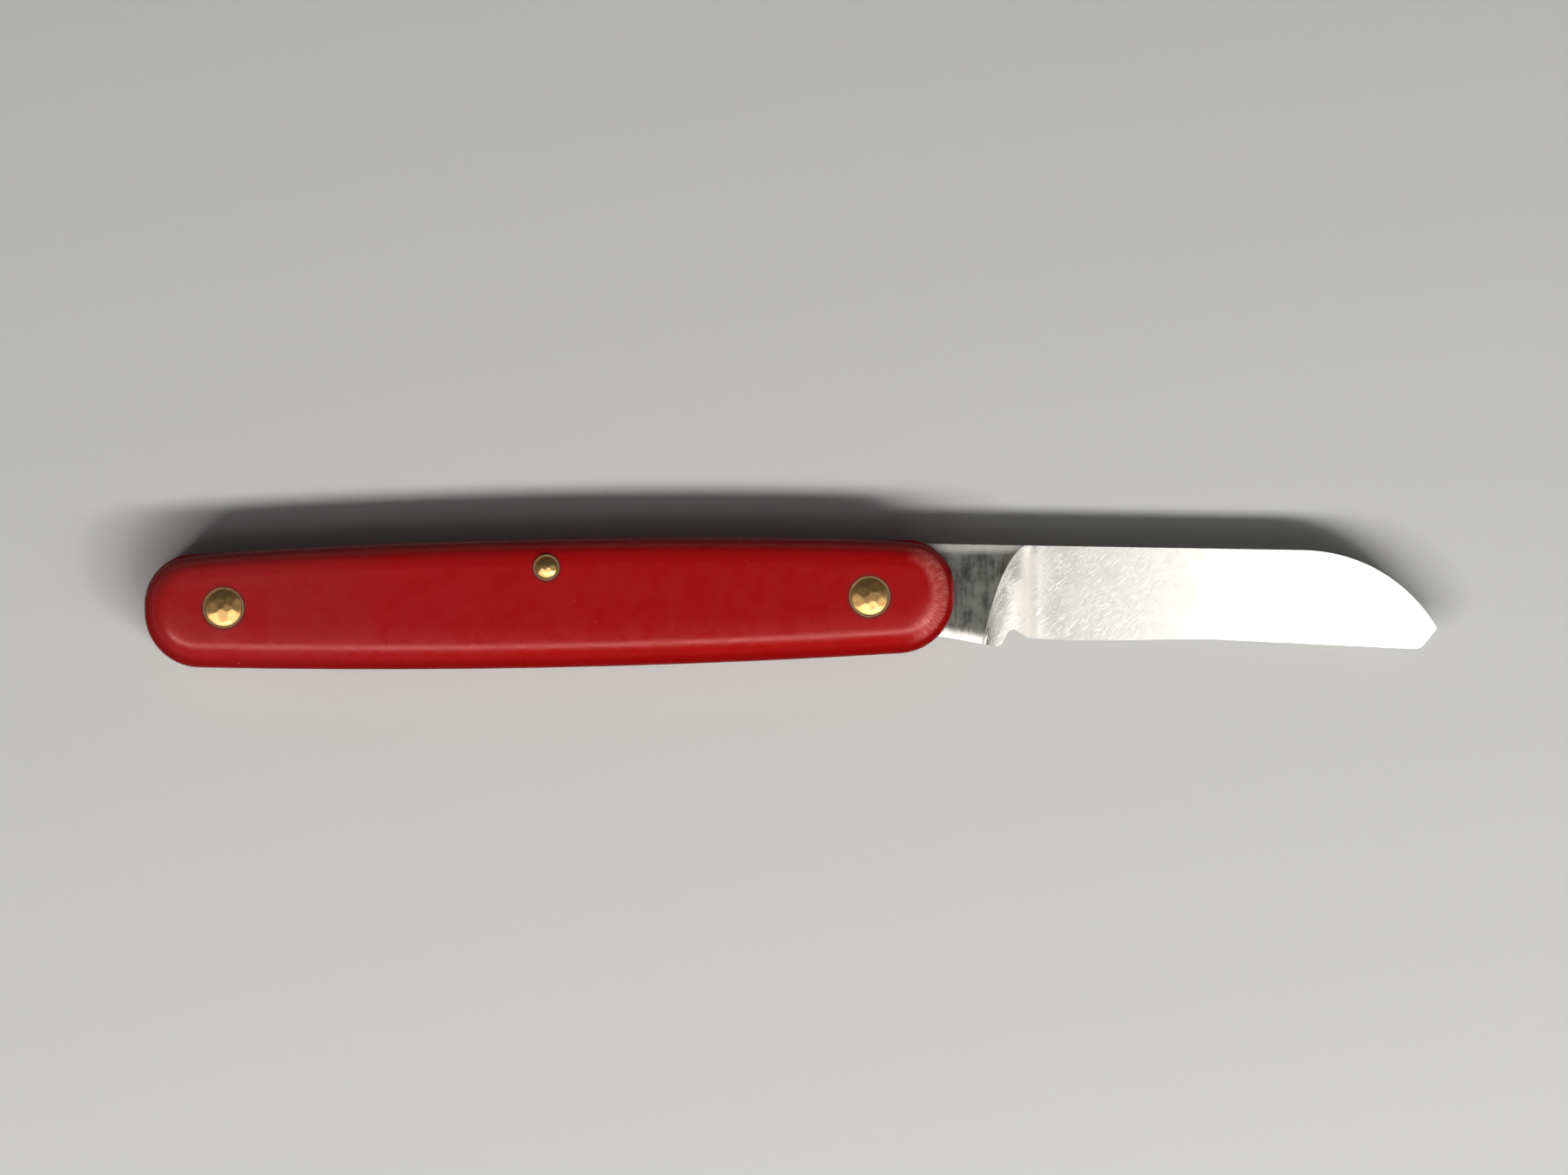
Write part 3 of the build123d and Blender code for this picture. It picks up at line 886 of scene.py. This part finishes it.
def break_spine(blade, width):
    """Takes the sharpness off both edges of the blade's back, from the tang to the point."""
    wall_keys, side_keys = set(), set()
    for face in blade.data.polygons:
        if abs(face.normal.z) > LEVEL:
            side_keys.update(face.edge_keys)
        elif face.normal.y > 0.3:
            wall_keys.update(face.edge_keys)
    pick(blade, "edges", lambda edge: edge.key in wall_keys and edge.key in side_keys)
    bpy.ops.mesh.bevel(offset=width, segments=2, clamp_overlap=True)
    bpy.ops.object.mode_set(mode="OBJECT")


class KNIFE_OT_blade(bpy.types.Operator):
    """Builds the blade from the frame's, with a finely ground plunge and a broken back"""

    bl_idname = "knife.blade"
    bl_label = "Blade"

    def execute(self, context):
        settings = context.scene.knife_blade
        blade = copy_of_node("blade", "ground_blade")
        cut_away(blade, make_grinding_wheel(blade, settings.wheel_radius))
        break_spine(blade, settings.spine_break)
        bpy.ops.object.shade_smooth_by_angle(angle=BLADE_CREASE)
        pick(blade, "polygons", lambda face: face.normal.z > TRUE_FLAT)
        bpy.ops.mesh.region_to_loop()
        bpy.ops.mesh.mark_sharp()
        bpy.ops.object.mode_set(mode="OBJECT")
        material = make_blade_steel(settings)
        finish_piece(blade, material, "blade", "blade_steel", "blade", smooth_angle=None)
        return {"FINISHED"}


# ---- rivets --------------------------------------------------------------------------------------


def raise_rings(centre, rings):
    """Builds a turned shape up from the selected face. A ring is a radius and its rise above the last."""
    last = rings[0][0]
    for radius, rise in rings[1:]:
        bpy.ops.mesh.extrude_region_move(TRANSFORM_OT_translate={"value": (0, 0, rise)})
        scale = radius / last
        bpy.ops.transform.resize(value=(scale, scale, 1), center_override=centre)
        last = radius


def flatten_beyond(piece, point, normal):
    """Presses all that stands out beyond a plane flat against it."""
    axes = normal.to_track_quat("Z", "Y").to_matrix()
    if pick(piece, "vertices", lambda vertex: (vertex.co - point).dot(normal) > 0):
        bpy.ops.transform.resize(
            value=(1, 1, 0),
            orient_type="GLOBAL",
            orient_matrix=[axes.col[index] for index in range(3)],
            orient_matrix_type="GLOBAL",
            constraint_axis=(False, False, True),
            center_override=point,
        )
    bpy.ops.object.mode_set(mode="OBJECT")


def make_peened_head(place, settings, first_turn):
    """One domed head on its half of the pin, with flats where the hammer fell."""
    low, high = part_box(place + "_rivet")
    centre = RIVET_CENTRES[place]
    radius = (high.x - low.x) / 2
    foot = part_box(place + "_front_washer")[0].z + CUP_FLOOR
    dome = high.z - foot - HEAD_WALL
    sphere = (radius**2 + dome**2) / (2 * dome)
    bpy.ops.object.select_all(action="DESELECT")
    bpy.ops.mesh.primitive_cylinder_add(
        vertices=HEAD_SIDES,
        radius=radius,
        depth=HEAD_WALL,
        location=(centre.x, centre.y, foot + HEAD_WALL / 2),
    )
    head = bpy.context.active_object
    bpy.ops.object.transform_apply(location=True, rotation=True, scale=True)
    pick(head, "polygons", lambda face: face.normal.z > LEVEL)
    full = math.asin(radius / sphere)
    steps = settings.dome_rings + 1
    angles = [full * (1 - index / (settings.dome_rings + 0.5)) for index in range(steps)]
    rings = [
        (sphere * math.sin(angle), sphere * (math.cos(angle) - math.cos(previous)))
        for previous, angle in zip([full, *angles], angles)
    ]
    raise_rings((centre.x, centre.y, 0), rings)
    pick(head, "polygons", lambda face: face.normal.z < -LEVEL)
    bpy.ops.mesh.inset(thickness=radius * HEAD_RIM)
    bpy.ops.mesh.extrude_region_move(TRANSFORM_OT_translate={"value": (0, 0, MIDDLE_Z - foot)})
    bpy.ops.object.mode_set(mode="OBJECT")
    dome_centre = Vector((centre.x, centre.y, high.z - sphere))
    for index in range(settings.hammer_marks):
        turn = first_turn + index * GOLDEN_TURN
        lean = full * MARK_SPREAD * math.sqrt((index + 0.4) / settings.hammer_marks)
        across = math.sin(lean)
        normal = Vector((across * math.cos(turn), across * math.sin(turn), math.cos(lean)))
        depth = settings.mark_depth * radius / LARGE_HEAD * (1 + index % 3 * 0.4)
        flatten_beyond(head, dome_centre + normal * (sphere - depth), normal)
    return head


class KNIFE_OT_rivets(bpy.types.Operator):
    """Builds the three brass rivets, with peened domes at both ends"""

    bl_idname = "knife.rivets"
    bl_label = "Rivets"

    def execute(self, context):
        settings = context.scene.knife_rivets
        for place in RIVETS:
            low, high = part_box(place + "_rivet")
            material = make_brass(
                f"knife_{place}_rivet_brass",
                settings,
                centre=RIVET_CENTRES[place],
                rim_mm=(high.x - low.x) / 2 / MM,
            )
            front = make_peened_head(place, settings, low.x / MM)
            back = make_peened_head(place, settings, high.x / MM + 1)
            rear = mirror_to_rear(back, "rear_half")
            bpy.data.objects.remove(back)
            select_only(front)
            rear.select_set(True)
            bpy.ops.object.join()
            front.name = front.data.name = place + "_rivet_peened"
            bpy.ops.object.mode_set(mode="EDIT")
            bpy.ops.mesh.select_all(action="SELECT")
            bpy.ops.mesh.remove_doubles(threshold=MERGE_GAP)
            bpy.ops.mesh.normals_make_consistent(inside=False)
            bpy.ops.object.mode_set(mode="OBJECT")
            finish_piece(front, material, "handle", "rivet_brass", place + "_rivet", smooth_angle=35)
        return {"FINISHED"}


class KNIFE_OT_washers(bpy.types.Operator):
    """Gives the cup washers their tarnished brass"""

    bl_idname = "knife.washers"
    bl_label = "Cup washers"

    def execute(self, context):
        settings = context.scene.knife_rivets
        material = make_brass("knife_washer_brass", settings, tarnish=0.6, clean=PALE_BRASS)
        for place in RIVETS:
            for side in SIDES:
                dress_node(f"{place}_{side}_washer", material)
        return {"FINISHED"}


# ---- stage ---------------------------------------------------------------------------------------


def add_softbox(name, place, size, power, tint):
    """An oblong area light that shines straight down."""
    light = bpy.data.lights.new(name, "AREA")
    light.shape = "RECTANGLE"
    light.size, light.size_y = size
    light.energy = power
    light.color = tint
    lamp = bpy.data.objects.new(name, light)
    lamp.location = (*place, LIGHT_HEIGHT)
    lamp.rotation_mode = "QUATERNION"
    lamp.rotation_quaternion = Vector((0, 0, -LIGHT_HEIGHT)).to_track_quat("-Z", "Y")
    bpy.context.collection.objects.link(lamp)


class KNIFE_OT_stage(bpy.types.Operator):
    """Adds the pale floor, the soft lights and the camera straight above the knife"""

    bl_idname = "knife.stage"
    bl_label = "Stage"

    def execute(self, context):
        settings = context.scene.knife_stage
        floor_z = CAD_BOX[0].z
        bpy.ops.object.select_all(action="DESELECT")
        bpy.ops.mesh.primitive_plane_add(size=FLOOR_SIZE, location=(0, 0, floor_z))
        floor = context.active_object
        floor.name = "stage_floor"
        bpy.ops.object.transform_apply(location=True, rotation=True, scale=True)
        floor.data.materials.append(make_floor(settings))

        world = bpy.data.worlds.new("stage_world")
        world.use_nodes = True
        background = world.node_tree.nodes["Background"]
        background.inputs["Color"].default_value = rgba(SKY_COLOUR)
        background.inputs["Strength"].default_value = SKY_STRENGTH
        context.scene.world = world
        for light in LIGHTS:
            add_softbox(*light)

        camera = bpy.data.cameras.new("knife_camera")
        camera.lens = settings.lens
        camera.sensor_width = SENSOR_WIDTH
        height = settings.view_width * settings.lens / SENSOR_WIDTH
        camera.clip_start, camera.clip_end = CLIP_START, CLIP_END
        watcher = bpy.data.objects.new("knife_camera", camera)
        watcher.location = (settings.view_x, settings.view_y, FRONT_FACE + height)
        watcher.rotation_euler = (0, 0, -settings.roll)
        context.collection.objects.link(watcher)
        context.scene.camera = watcher
        context.scene.view_settings.view_transform = "Standard"
        return {"FINISHED"}


# ---- add-on --------------------------------------------------------------------------------------

OPERATORS = (
    KNIFE_OT_scales,
    KNIFE_OT_liners,
    KNIFE_OT_spring,
    KNIFE_OT_blade,
    KNIFE_OT_rivets,
    KNIFE_OT_washers,
    KNIFE_OT_stage,
)
SETTINGS = {
    "knife_scales": KnifeScaleSettings,
    "knife_blade": KnifeBladeSettings,
    "knife_rivets": KnifeRivetSettings,
    "knife_stage": KnifeStageSettings,
}


class KNIFE_PT_pieces(bpy.types.Panel):
    """Buttons for the knife's pieces"""

    bl_idname = "KNIFE_PT_pieces"
    bl_label = "Grafting Knife"
    bl_space_type = "VIEW_3D"
    bl_region_type = "UI"
    bl_category = "Knife"

    def draw(self, context):
        for operator in OPERATORS:
            self.layout.operator(operator.bl_idname)
        for name in SETTINGS:
            box = self.layout.box()
            for key in SETTINGS[name].__annotations__:
                box.prop(getattr(context.scene, name), key)


CLASSES = (*SETTINGS.values(), *OPERATORS, KNIFE_PT_pieces)


def register():
    for item in CLASSES:
        bpy.utils.register_class(item)
    for name, group in SETTINGS.items():
        setattr(bpy.types.Scene, name, PointerProperty(type=group))


def unregister():
    for name in SETTINGS:
        delattr(bpy.types.Scene, name)
    for item in reversed(CLASSES):
        bpy.utils.unregister_class(item)


def main():
    """Builds the whole knife and its stage."""
    register()
    make_scratch_group()
    make_speck_group()
    make_patch_group()
    bpy.ops.knife.scales()
    bpy.ops.knife.liners()
    bpy.ops.knife.spring()
    bpy.ops.knife.blade()
    bpy.ops.knife.rivets()
    bpy.ops.knife.washers()
    bpy.ops.knife.stage()
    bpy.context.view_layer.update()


if __name__ == "__main__":
    main()
